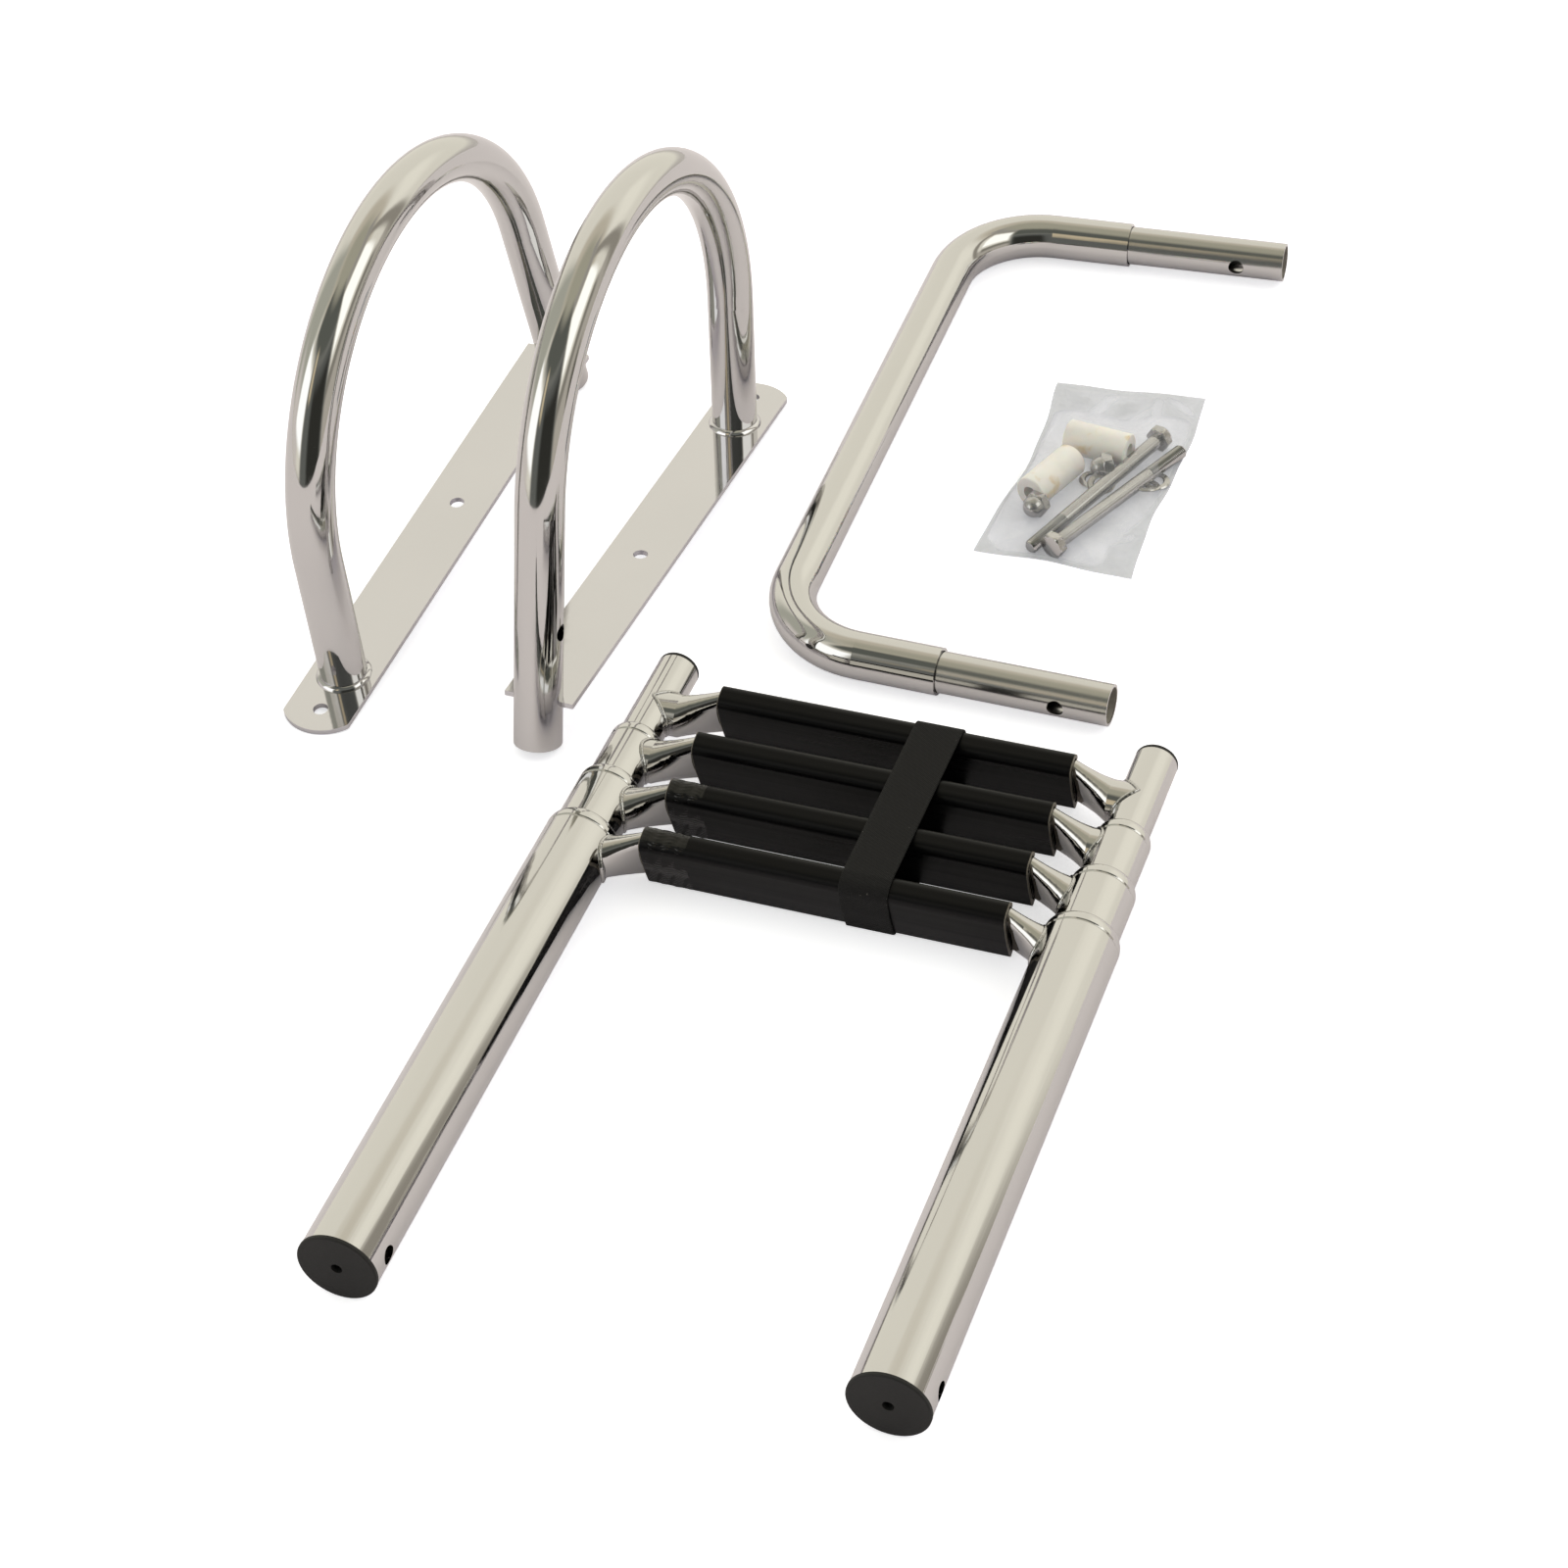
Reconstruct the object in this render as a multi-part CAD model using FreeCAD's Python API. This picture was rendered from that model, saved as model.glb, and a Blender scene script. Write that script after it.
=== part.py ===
# A telescopic boat ladder with four steps, collapsed and strapped, and the kit it is sold
# with: two arched handrails, a U-shaped stand-off tube and a bag of fasteners. All of it
# lies on a level floor. X runs along the steps, Y along the ladder from its hinge end to
# its foot, and Z is up. The origin is the middle of the layout, on the floor.
import FreeCAD
import Part
import math
import os

V = FreeCAD.Vector

# Side tubes: four sizes, each sliding in the one before
SIDE_SPACING = 255.6
TUBE_OD = (38.1, 32.8, 27.5, 22.2)
TUBE_WALL = 1.2
RUN_GAP = 0.3
SLIDE_TRAVEL = 245.0
END_CLEARANCE = 1.0
LIP_LENGTH = 6.0
GUIDE_LENGTH = 12.0
GROOVE_DEPTH = 0.5
GROOVE_WIDTH = 1.6
GROOVE_FROM_END = 6.5
SHOULDER_LENGTH = 4.5
LIP_EDGE_R = 0.25

# Steps: a round tube pressed flat in the middle, under a snapped-on cover
STEP_PITCH = 36.64
STEP_OD = 22.2
STEP_WALL = 1.2
STEP_FLAT_HEIGHT = 30.4
STEP_FLAT_THICKNESS = 9.0
STEP_FLAT_SET_BACK = 3.2
STEP_FLAT_TILT = 16.0
STEP_TAPER_PAST_COVER = 0.5
STEP_ROUND_PAST_TUBE = 5.0
STEP_ROUND_SPLIT = 50.0
TUBE_END_PAST_STEP = 14.0
LAST_TUBE_PAST_STEP = 32.7
COPE_GAP = 0.05
COVER_LENGTH = 186.2
COVER_WALL = 2.0
COVER_FIT_GAP = 0.1
COVER_BOW = 1.2
COVER_BOW_RADIUS = 100.0
COVER_CORNER_RADIUS = 5.0
COVER_EDGE_RADIUS = 2.0
COVER_LIP = 4.5
COVER_INNER_RADIUS = 2.5

# Caps and plugs
CAP_FLANGE = 2.0
CAP_OVERHANG = 0.3
CAP_SPIGOT = 6.0
CAP_HOLE_R = 2.75
CAP_EDGE_R = 0.9
PLUG_FLANGE = 2.5
PLUG_SPIGOT = 8.0
PLUG_EDGE_R = 0.9
SPIGOT_GAP = 0.05

# Pivot bolt holes: through the hinge end of the ladder, the handrails and the stand-off
PIVOT_HOLE_R = 4.5
PIVOT_FROM_END = 14.2
PIVOT_TO_GUIDE = 10.9

# Webbing strap round the four steps
STRAP_WIDTH = 25.0
STRAP_X = 22.5
STRAP_THICKNESS = 0.7
STRAP_GAP = 0.25
STRAP_CORNER = 5.0

# Handrails: a tube bent to an arch, welded to a strip plate
RAIL_OD = 25.4
RAIL_WALL = 1.5
RAIL_BEND_R = 130.5
RAIL_BEND_ANGLE = 170.0
RAIL_FOOT_LEG = 80.0
RAIL_FREE_LEG = 129.6
RAIL_FOOT_FROM_HOLE = 27.7
WELD_LEG = 2.2
WELD_CROWN = 0.35
PLATE_WIDTH = 38.1
PLATE_THICKNESS = 3.0
PLATE_TIP = 15.5
PLATE_TIP_R = 24.0
PLATE_TIP_CORNER = 3.0
PLATE_HOLE_R = 4.0
PLATE_HOLE_SPACING = 167.8

# Stand-off: a bow of rail tube with an insert in each arm, which plugs into a handrail
BOW_SPACING = 396.6
BOW_BEND_R = 51.8
BOW_FLARE = 2.24
BOW_ARM = 95.2
INSERT_OD = 22.2
INSERT_WALL = 1.5
INSERT_REACH = 92.0
INSERT_HIDDEN = 30.0
INSERT_HOLE_FROM_BOW = 65.0
INSERT_PRESS_GAP = 0.05
INSERT_NECK_DEPTH = 0.5
INSERT_NECK_INSIDE = 3.0
INSERT_NECK_OUTSIDE = 1.0

# Bag of fasteners
BAG_WIDTH = 88.0
BAG_LENGTH = 165.0
BAG_THICKNESS = 20.0
BAG_BELLY_INSET = 24.0
BAG_CORNER = 6.0
BAG_EDGE = 1.0

# Layout on the floor, from the middle of the ladder's hinge end
RAIL_1_PLACE = (-304.5, 358.1)
RAIL_1_HEADING = -2.4
RAIL_2_PLACE = (-180.4, 677.7)
RAIL_2_HEADING = 179.1
BOW_PLACE = (-100.3, 666.7)
BOW_HEADING = 1.6
BAG_PLACE = (25.2, 665.4)
BAG_HEADING = 1.5

SECTIONS = len(TUBE_OD)
AXIS_Z = TUBE_OD[0] / 2 + CAP_OVERHANG
SIDES = {"left": -1, "right": 1}


def rounded_wire(corners, radii, closed):
    """Straight runs through the corners, with a tangent arc of its own radius at each."""
    count = len(corners)
    edges = []
    start = None
    first = None
    order = range(count) if closed else range(1, count - 1)
    if not closed:
        start = corners[0]
    for i in order:
        here = corners[i]
        back = (corners[i - 1] - here).normalize()
        ahead = (corners[(i + 1) % count] - here).normalize()
        if radii[i] == 0:
            tangent_in = tangent_out = here
        else:
            half = back.getAngle(ahead) / 2
            reach = radii[i] / math.tan(half)
            tangent_in = here + back * reach
            tangent_out = here + ahead * reach
            middle = (back + ahead).normalize()
            crown = here + middle * (radii[i] / math.sin(half) - radii[i])
        if start is not None and start.distanceToPoint(tangent_in) > 1e-6:
            edges.append(Part.LineSegment(start, tangent_in).toShape())
        if radii[i] > 0:
            edges.append(Part.Arc(tangent_in, crown, tangent_out).toShape())
        if first is None:
            first = tangent_in
        start = tangent_out
    last = first if closed else corners[-1]
    if start.distanceToPoint(last) > 1e-6:
        edges.append(Part.LineSegment(start, last).toShape())
    return Part.Wire(edges)


def bent_tube(corners, bend_radius, outer_r, inner_r):
    """A round tube along straight runs and tangent bends."""
    path = rounded_wire(corners, [bend_radius] * len(corners), False)
    direction = corners[1] - corners[0]
    rims = [Part.Wire(Part.makeCircle(r, corners[0], direction)) for r in (outer_r, inner_r)]
    solids = [path.makePipe(Part.Face(rim)) for rim in rims]
    return solids[0].cut(solids[1])


def revolve_about_y(outline, x):
    """Turn a closed (radius, y, rounding) outline about a side tube's own axis."""
    corners = [V(x + r, y, AXIS_Z) for r, y, rounding in outline]
    face = Part.Face(rounded_wire(corners, [rounding for r, y, rounding in outline], True))
    return face.revolve(V(x, 0, AXIS_Z), V(0, 1, 0), 360)


def step_y(index):
    """A step's axis. Section 2, drawn in, ends clear of the pivot bolt, which places step 1."""
    hidden_end = PIVOT_FROM_END + PIVOT_HOLE_R + PIVOT_TO_GUIDE
    mouth = hidden_end + GUIDE_LENGTH + SLIDE_TRAVEL + END_CLEARANCE + LIP_LENGTH
    return mouth - TUBE_END_PAST_STEP + index * STEP_PITCH


def tube_far_end(index):
    past = TUBE_END_PAST_STEP if index < SECTIONS - 1 else LAST_TUBE_PAST_STEP
    return step_y(index) + past


def tube_near_end(index):
    """A sliding tube's hidden end, placed so that its guide stops at the lip."""
    if index == 0:
        return CAP_FLANGE
    stop = tube_far_end(index - 1) - LIP_LENGTH
    return stop - END_CLEARANCE - SLIDE_TRAVEL - GUIDE_LENGTH


def side_tube(index, side):
    """One telescoping tube: swaged guide at the hidden end, rolled-in shoulder at the far end."""
    outer = TUBE_OD[index] / 2
    inner = outer - TUBE_WALL
    near = tube_near_end(index)
    far = tube_far_end(index)
    outline = []
    if index > 0:
        guide = TUBE_OD[index - 1] / 2 - TUBE_WALL - RUN_GAP
        outline += [(guide, near, 0), (guide, near + GUIDE_LENGTH, 0), (outer, near + GUIDE_LENGTH, 0)]
    else:
        outline += [(outer, near, 0)]
    if index < SECTIONS - 1:
        lip = TUBE_OD[index + 1] / 2 + RUN_GAP
        groove = far - GROOVE_FROM_END
        outline += [(outer, groove - GROOVE_WIDTH, 0)]
        outline += [(outer - GROOVE_DEPTH, groove - GROOVE_WIDTH / 2, GROOVE_WIDTH / 3)]
        outline += [(outer, groove, 0)]
        fall = outer - lip - LIP_EDGE_R
        shoulder = (fall ** 2 + SHOULDER_LENGTH ** 2) / (2 * fall)
        slope = math.asin(SHOULDER_LENGTH / shoulder)
        outline += [(outer, far - SHOULDER_LENGTH + shoulder * math.tan(slope / 2), shoulder)]
        outline += [(lip + LIP_EDGE_R, far, 0), (lip, far, LIP_EDGE_R / 2)]
        outline += [(lip, far - LIP_LENGTH, 0), (inner, far - LIP_LENGTH, 0)]
    else:
        outline += [(outer, far, 0), (inner, far, 0)]
    outline += [(inner, near, 0)]
    tube = revolve_about_y(outline, SIDES[side] * SIDE_SPACING / 2)
    if index == 0:
        tube = tube.cut(pivot_drill(SIDES[side] * SIDE_SPACING / 2))
    return tube


def pivot_drill(x):
    reach = TUBE_OD[0]
    return Part.makeCylinder(PIVOT_HOLE_R, 2 * reach, V(x - reach, PIVOT_FROM_END, AXIS_Z), V(1, 0, 0))


def hinge_cap(side):
    """Plug with a flange, in the hinge end of an outer tube."""
    rim = TUBE_OD[0] / 2 + CAP_OVERHANG
    spigot = TUBE_OD[0] / 2 - TUBE_WALL - SPIGOT_GAP
    depth = CAP_FLANGE + CAP_SPIGOT
    outline = [(CAP_HOLE_R, 0, 0), (rim, 0, CAP_EDGE_R), (rim, CAP_FLANGE, 0)]
    outline += [(spigot, CAP_FLANGE, 0), (spigot, depth, CAP_EDGE_R), (CAP_HOLE_R, depth, 0)]
    return revolve_about_y(outline, SIDES[side] * SIDE_SPACING / 2)


def foot_plug(side):
    """Plug in the open foot of a last tube."""
    rim = TUBE_OD[-1] / 2
    spigot = rim - TUBE_WALL - SPIGOT_GAP
    end = tube_far_end(SECTIONS - 1)
    outline = [(0, end - PLUG_SPIGOT, 0), (spigot, end - PLUG_SPIGOT, 0), (spigot, end, 0)]
    outline += [(rim, end, 0), (rim, end + PLUG_FLANGE, PLUG_EDGE_R), (0, end + PLUG_FLANGE, 0)]
    return revolve_about_y(outline, SIDES[side] * SIDE_SPACING / 2)


def flat_centre(index):
    """Middle of the pressed part, set a little past the far side of the round tube."""
    past = (STEP_OD - STEP_FLAT_THICKNESS) / 2 + STEP_FLAT_SET_BACK
    return V(0, step_y(index) + past, AXIS_Z)


def flat_frame(centre, x, out, up):
    """A point in the tilted plane of a pressed step: out to the hinge end, and up."""
    tilt = math.radians(STEP_FLAT_TILT)
    y = centre.y - out * math.cos(tilt) - up * math.sin(tilt)
    z = centre.z - out * math.sin(tilt) + up * math.cos(tilt)
    return V(x, y, z)


def round_section(index, x, radius):
    """The step tube's round section as four arcs that match the flat one's edges."""
    def point(angle):
        turn = math.radians(angle - STEP_FLAT_TILT)
        return V(x, step_y(index) - radius * math.cos(turn), AXIS_Z + radius * math.sin(turn))
    split = STEP_ROUND_SPLIT
    corners = (-split, split, 180 - split, 180 + split)
    edges = []
    for i in range(4):
        start, end = corners[i], corners[(i + 1) % 4]
        if end < start:
            end += 360
        edges.append(Part.Arc(point(start), point((start + end) / 2), point(end)).toShape())
    return Part.Wire(edges)


def flat_section(index, x, inset):
    """The step tube's pressed section: two flats joined by half rounds."""
    centre = flat_centre(index)
    half = STEP_FLAT_THICKNESS / 2 - inset
    rise = STEP_FLAT_HEIGHT / 2 - STEP_FLAT_THICKNESS / 2
    p = [flat_frame(centre, x, half, -rise), flat_frame(centre, x, half, rise)]
    p += [flat_frame(centre, x, -half, rise), flat_frame(centre, x, -half, -rise)]
    top = flat_frame(centre, x, 0, rise + half)
    bottom = flat_frame(centre, x, 0, -rise - half)
    edges = [Part.LineSegment(p[0], p[1]).toShape(), Part.Arc(p[1], top, p[2]).toShape()]
    edges += [Part.LineSegment(p[2], p[3]).toShape(), Part.Arc(p[3], bottom, p[0]).toShape()]
    return Part.Wire(edges)


def step_tube(index):
    """Round at the side tubes, pressed flat between them, coped to fit them."""
    side_x = SIDE_SPACING / 2
    round_x = side_x - TUBE_OD[0] / 2 + STEP_ROUND_PAST_TUBE
    flat_x = COVER_LENGTH / 2 + STEP_TAPER_PAST_COVER
    skins = []
    for inset in (0, STEP_WALL):
        radius = STEP_OD / 2 - inset
        wires = [round_section(index, -side_x, radius), round_section(index, -round_x, radius)]
        wires += [flat_section(index, -flat_x, inset), flat_section(index, flat_x, inset)]
        wires += [round_section(index, round_x, radius), round_section(index, side_x, radius)]
        skins.append(Part.makeLoft(wires, True, True))
    tube = skins[0].cut(skins[1])
    for sign in SIDES.values():
        start = V(sign * side_x, step_y(index) - STEP_OD, AXIS_Z)
        tube = tube.cut(Part.makeCylinder(TUBE_OD[index] / 2 + COPE_GAP, 2 * STEP_OD, start, V(0, 1, 0)))
    return max(tube.Solids, key=lambda solid: solid.Volume)


def cover_size():
    """Half height and half depth of a cover's outer outline."""
    height = STEP_FLAT_HEIGHT / 2 + COVER_FIT_GAP + COVER_WALL
    depth = STEP_FLAT_THICKNESS / 2 + COVER_FIT_GAP + COVER_WALL
    return height, depth


def cover_reach(radius):
    """How far a tilted cover's corner of this radius reaches along Y and Z from its middle."""
    height, depth = cover_size()
    tilt = math.radians(STEP_FLAT_TILT)
    core_h = height - radius
    core_d = depth + COVER_BOW * radius / height - radius
    reach_y = core_h * math.sin(tilt) + core_d * math.cos(tilt) + radius
    reach_z = core_h * math.cos(tilt) + core_d * math.sin(tilt) + radius
    return reach_y, reach_z


def tread_cover(index):
    """Extruded cover, snapped over the pressed step: bowed in front and open behind."""
    height, depth = cover_size()
    inner_h = height - COVER_WALL
    inner_d = depth - COVER_WALL
    slot = height - COVER_WALL - COVER_LIP
    outline = [(depth, -height, COVER_EDGE_RADIUS), (depth + COVER_BOW, 0, COVER_BOW_RADIUS)]
    outline += [(depth, height, COVER_CORNER_RADIUS), (-depth, height, COVER_CORNER_RADIUS)]
    outline += [(-depth, slot, 0), (-inner_d, slot, 0), (-inner_d, inner_h, COVER_INNER_RADIUS)]
    outline += [(inner_d, inner_h, COVER_INNER_RADIUS), (inner_d + COVER_BOW, 0, COVER_BOW_RADIUS)]
    outline += [(inner_d, -inner_h, COVER_INNER_RADIUS), (-inner_d, -inner_h, COVER_INNER_RADIUS)]
    outline += [(-inner_d, -slot, 0), (-depth, -slot, 0), (-depth, -height, COVER_CORNER_RADIUS)]
    centre = flat_centre(index)
    corners = [flat_frame(centre, -COVER_LENGTH / 2, out, up) for out, up, radius in outline]
    wire = rounded_wire(corners, [radius for out, up, radius in outline], True)
    return Part.Face(wire).extrude(V(COVER_LENGTH, 0, 0))


def strap():
    """A flat loop of webbing round all four covers."""
    reach_y, reach_up = cover_reach(COVER_CORNER_RADIUS)
    reach_down = cover_reach(COVER_EDGE_RADIUS)[1]
    near = flat_centre(0).y - reach_y - STRAP_GAP
    far = flat_centre(SECTIONS - 1).y + reach_y + STRAP_GAP
    low = AXIS_Z - reach_down - STRAP_GAP
    high = AXIS_Z + reach_up + STRAP_GAP
    x = STRAP_X - STRAP_WIDTH / 2
    loops = []
    for grow in (STRAP_THICKNESS, 0):
        corners = [V(x, near - grow, low - grow), V(x, near - grow, high + grow)]
        corners += [V(x, far + grow, high + grow), V(x, far + grow, low - grow)]
        face = Part.Face(rounded_wire(corners, [STRAP_CORNER + grow] * 4, True))
        loops.append(face.extrude(V(STRAP_WIDTH, 0, 0)))
    return loops[0].cut(loops[1])


def rail_path():
    """Corner points of a handrail's centreline, in its own plane: along the plate, and up."""
    turn = math.radians(RAIL_BEND_ANGLE)
    reach = RAIL_BEND_R
    bend_centre = V(RAIL_FOOT_FROM_HOLE + reach, RAIL_FOOT_LEG, 0)
    bend_end = bend_centre + V(-reach * math.cos(turn), reach * math.sin(turn), 0)
    down = V(math.sin(turn), math.cos(turn), 0)
    return bend_centre, bend_end, down


def plate_frame(point):
    """From the handrail's plane to its own X, Y and Z, with the plate along Y."""
    return V(point.z, point.x, point.y)


def handrail_tube():
    """Foot leg, arch and free leg of one tube, with the bolt hole across its free leg."""
    bend_centre, bend_end, down = rail_path()
    foot = V(RAIL_FOOT_FROM_HOLE, 0, 0)
    free_end = bend_end + down * RAIL_FREE_LEG
    outer, inner = RAIL_OD / 2, RAIL_OD / 2 - RAIL_WALL
    side = V(1, 0, 0)
    solids = []
    for radius in (outer, inner):
        foot_leg = Part.makeCylinder(radius, RAIL_FOOT_LEG, plate_frame(foot), V(0, 0, 1))
        rim = Part.Wire(Part.makeCircle(radius, plate_frame(foot + V(0, RAIL_FOOT_LEG, 0)), V(0, 0, 1)))
        arch = Part.Face(rim).revolve(plate_frame(bend_centre), side * -1, RAIL_BEND_ANGLE)
        leg = Part.makeCylinder(radius, RAIL_FREE_LEG, plate_frame(bend_end), plate_frame(down))
        solids.append(foot_leg.fuse([arch, leg]))
    tube = solids[0].cut(solids[1])
    hole = plate_frame(free_end - down * INSERT_HOLE_FROM_BOW)
    drill = Part.makeCylinder(PIVOT_HOLE_R, 2 * RAIL_OD, hole - side * RAIL_OD, side)
    return tube.cut(drill).removeSplitter()


def upright_at(edge, y):
    """Whether a plate's edge stands upright at this distance along it."""
    low, high = edge.BoundBox.YMin, edge.BoundBox.YMax
    return abs(low - y) < 1e-4 and abs(high - y) < 1e-4 and edge.BoundBox.ZLength > 1


def weld_bead():
    """Fillet weld on the plate, all round a handrail's foot, slightly crowned."""
    inner = RAIL_OD / 2 + COPE_GAP
    foot = V(0, RAIL_FOOT_FROM_HOLE, 0)
    low = foot + V(0, inner + WELD_LEG, 0)
    high = foot + V(0, inner, WELD_LEG)
    crown = (low + high) / 2 + V(0, 1, 1).normalize() * WELD_CROWN
    root = foot + V(0, inner, 0)
    edges = [Part.LineSegment(root, low).toShape(), Part.Arc(low, crown, high).toShape()]
    edges.append(Part.LineSegment(high, root).toShape())
    return Part.Face(Part.Wire(edges)).revolve(foot, V(0, 0, 1), 360)


def handrail_plate():
    """Strip plate: rounded tip beyond the welded foot, and an end coped to the free leg."""
    bend_centre, bend_end, down = rail_path()
    along = bend_end - down * (bend_end.y / down.y)
    half = PLATE_WIDTH / 2
    shoulder = PLATE_TIP - PLATE_TIP_R + math.sqrt(PLATE_TIP_R ** 2 - half ** 2)
    tip = Part.Arc(V(-half, -shoulder, 0), V(0, -PLATE_TIP, 0), V(half, -shoulder, 0)).toShape()
    corners = [V(half, -shoulder, 0), V(half, along.x, 0), V(-half, along.x, 0), V(-half, -shoulder, 0)]
    sides = [Part.LineSegment(corners[i], corners[i + 1]).toShape() for i in range(3)]
    plate = Part.Face(Part.Wire([tip] + sides)).extrude(V(0, 0, -PLATE_THICKNESS))
    tip_edges = [e for e in plate.Edges if upright_at(e, -shoulder)]
    plate = plate.makeFillet(PLATE_TIP_CORNER, tip_edges)
    for place in (0, PLATE_HOLE_SPACING):
        below = V(0, place, -2 * PLATE_THICKNESS)
        plate = plate.cut(Part.makeCylinder(PLATE_HOLE_R, 3 * PLATE_THICKNESS, below))
    leg_start = plate_frame(bend_end)
    leg = Part.makeCylinder(RAIL_OD / 2 + COPE_GAP, 2 * RAIL_FREE_LEG, leg_start, plate_frame(down))
    return plate.cut(leg).fuse(weld_bead())


def rail_tilt():
    """Tilt of a handrail that stands on its plate's tip and its free end."""
    bend_centre, bend_end, down = rail_path()
    free_end = bend_end + down * RAIL_FREE_LEG
    low_corner = free_end + V(down.y, -down.x, 0) * (RAIL_OD / 2)
    drop = -PLATE_THICKNESS - low_corner.y
    return math.degrees(math.atan2(drop, low_corner.x + PLATE_TIP))


def rail_placement(place, heading):
    """Stand a handrail on the floor at its first plate hole, turned about the vertical."""
    tilt = rail_tilt()
    turn = math.radians(tilt)
    height = PLATE_TIP * math.sin(turn) + PLATE_THICKNESS * math.cos(turn)
    lean = FreeCAD.Rotation(V(1, 0, 0), tilt)
    yaw = FreeCAD.Rotation(V(0, 0, 1), heading)
    return FreeCAD.Placement(V(place[0], place[1], height), yaw.multiply(lean))


def bow_corners():
    """Corner points of the stand-off's centreline, with the crossbar along Y."""
    half = BOW_SPACING / 2
    spread = BOW_ARM * math.tan(math.radians(BOW_FLARE))
    points = [V(BOW_ARM, -half - spread, 0), V(0, -half, 0), V(0, half, 0), V(BOW_ARM, half + spread, 0)]
    return points


def arm_direction(side):
    flare = math.radians(BOW_FLARE)
    return V(math.cos(flare), side * math.sin(flare), 0)


def standoff_bow():
    return bent_tube(bow_corners(), BOW_BEND_R, RAIL_OD / 2, RAIL_OD / 2 - RAIL_WALL)


def standoff_insert(side):
    """A thinner tube pressed in one arm, necked at its mouth and drilled for the pivot bolt."""
    mouth = bow_corners()[0 if side < 0 else -1]
    along = arm_direction(side)
    start = mouth - along * INSERT_HIDDEN
    pressed_r = RAIL_OD / 2 - RAIL_WALL - INSERT_PRESS_GAP
    neck_r = INSERT_OD / 2 - INSERT_NECK_DEPTH
    bore = INSERT_HIDDEN + INSERT_REACH
    tube = Part.makeCylinder(neck_r, bore, start, along)
    pressed = Part.makeCylinder(pressed_r, INSERT_HIDDEN - INSERT_NECK_INSIDE, start, along)
    shank_start = mouth + along * INSERT_NECK_OUTSIDE
    shank = Part.makeCylinder(INSERT_OD / 2, INSERT_REACH - INSERT_NECK_OUTSIDE, shank_start, along)
    tube = tube.fuse([pressed, shank])
    tube = tube.cut(Part.makeCylinder(INSERT_OD / 2 - INSERT_WALL, bore, start, along))
    across = V(-along.y, along.x, 0)
    hole = mouth + along * INSERT_HOLE_FROM_BOW
    return tube.cut(Part.makeCylinder(PIVOT_HOLE_R, 2 * INSERT_OD, hole - across * INSERT_OD, across))


def bow_placement():
    return FreeCAD.Placement(V(*BOW_PLACE, RAIL_OD / 2), FreeCAD.Rotation(V(0, 0, 1), BOW_HEADING))


def hardware_bag():
    """The filled bag's outer form: a pillow, thin at its rim."""
    def rim(width, length, corner, z):
        corners = [V(-width / 2, -length / 2, z), V(width / 2, -length / 2, z)]
        corners += [V(width / 2, length / 2, z), V(-width / 2, length / 2, z)]
        return rounded_wire(corners, [corner] * 4, True)
    belly_w, belly_l = BAG_WIDTH - 2 * BAG_BELLY_INSET, BAG_LENGTH - 2 * BAG_BELLY_INSET
    wires = [rim(BAG_WIDTH, BAG_LENGTH, BAG_CORNER, 0), rim(BAG_WIDTH, BAG_LENGTH, BAG_CORNER, BAG_EDGE)]
    wires += [rim(belly_w, belly_l, BAG_CORNER, BAG_THICKNESS)]
    return Part.makeLoft(wires, True, True)


def bag_placement():
    return FreeCAD.Placement(V(*BAG_PLACE, 0), FreeCAD.Rotation(V(0, 0, 1), BAG_HEADING))


def placed(shape, placement):
    moved = shape.copy()
    moved.Placement = placement.multiply(moved.Placement)
    return moved


def build():
    """Every named piece, where it lies from the middle of the ladder's hinge end."""
    pieces = {}
    for side in SIDES:
        pieces["outer_tube_" + side] = side_tube(0, side)
        pieces["hinge_cap_" + side] = hinge_cap(side)
        pieces["foot_plug_" + side] = foot_plug(side)
        for index in range(1, SECTIONS):
            pieces["section_{}_tube_{}".format(index + 1, side)] = side_tube(index, side)
    for index in range(SECTIONS):
        pieces["step_tube_{}".format(index + 1)] = step_tube(index)
        pieces["tread_cover_{}".format(index + 1)] = tread_cover(index)
    pieces["strap"] = strap()
    rails = ((RAIL_1_PLACE, RAIL_1_HEADING), (RAIL_2_PLACE, RAIL_2_HEADING))
    for number, (place, heading) in enumerate(rails, 1):
        stand = rail_placement(place, heading)
        pieces["handrail_{}_tube".format(number)] = placed(handrail_tube(), stand)
        pieces["handrail_{}_plate".format(number)] = placed(handrail_plate(), stand)
    pieces["standoff_bow"] = placed(standoff_bow(), bow_placement())
    pieces["standoff_insert_near"] = placed(standoff_insert(-1), bow_placement())
    pieces["standoff_insert_far"] = placed(standoff_insert(1), bow_placement())
    pieces["hardware_bag"] = placed(hardware_bag(), bag_placement())
    return pieces


def layout_shift(pieces):
    """From the ladder's hinge end to the middle of the whole layout, on the floor."""
    box = Part.makeCompound(list(pieces.values())).optimalBoundingBox(False, False)
    return V(-(box.XMin + box.XMax) / 2, -(box.YMin + box.YMax) / 2, -box.ZMin)


pieces = build()
shift = layout_shift(pieces)
os.makedirs("parts", exist_ok=True)
for name, shape in pieces.items():
    moved = placed(shape, FreeCAD.Placement(shift, FreeCAD.Rotation()))
    moved.exportStep("parts/" + name + ".step")
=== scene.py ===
# %% [markdown]
# The frame. The ladder's solids were built to size beforehand, and they are
# loaded first, so that every new piece can be measured from them and nothing is fitted
# afterwards. Blender works in metres. The pieces below are worked out in millimetres from
# one corner point, the middle of the ladder's hinge end on the floor, as a maker would
# measure them, and one function turns that into the frame's metres.

# %% Load the frame
import math

import bmesh
import bpy
import numpy as np
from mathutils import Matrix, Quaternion, Vector


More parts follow.
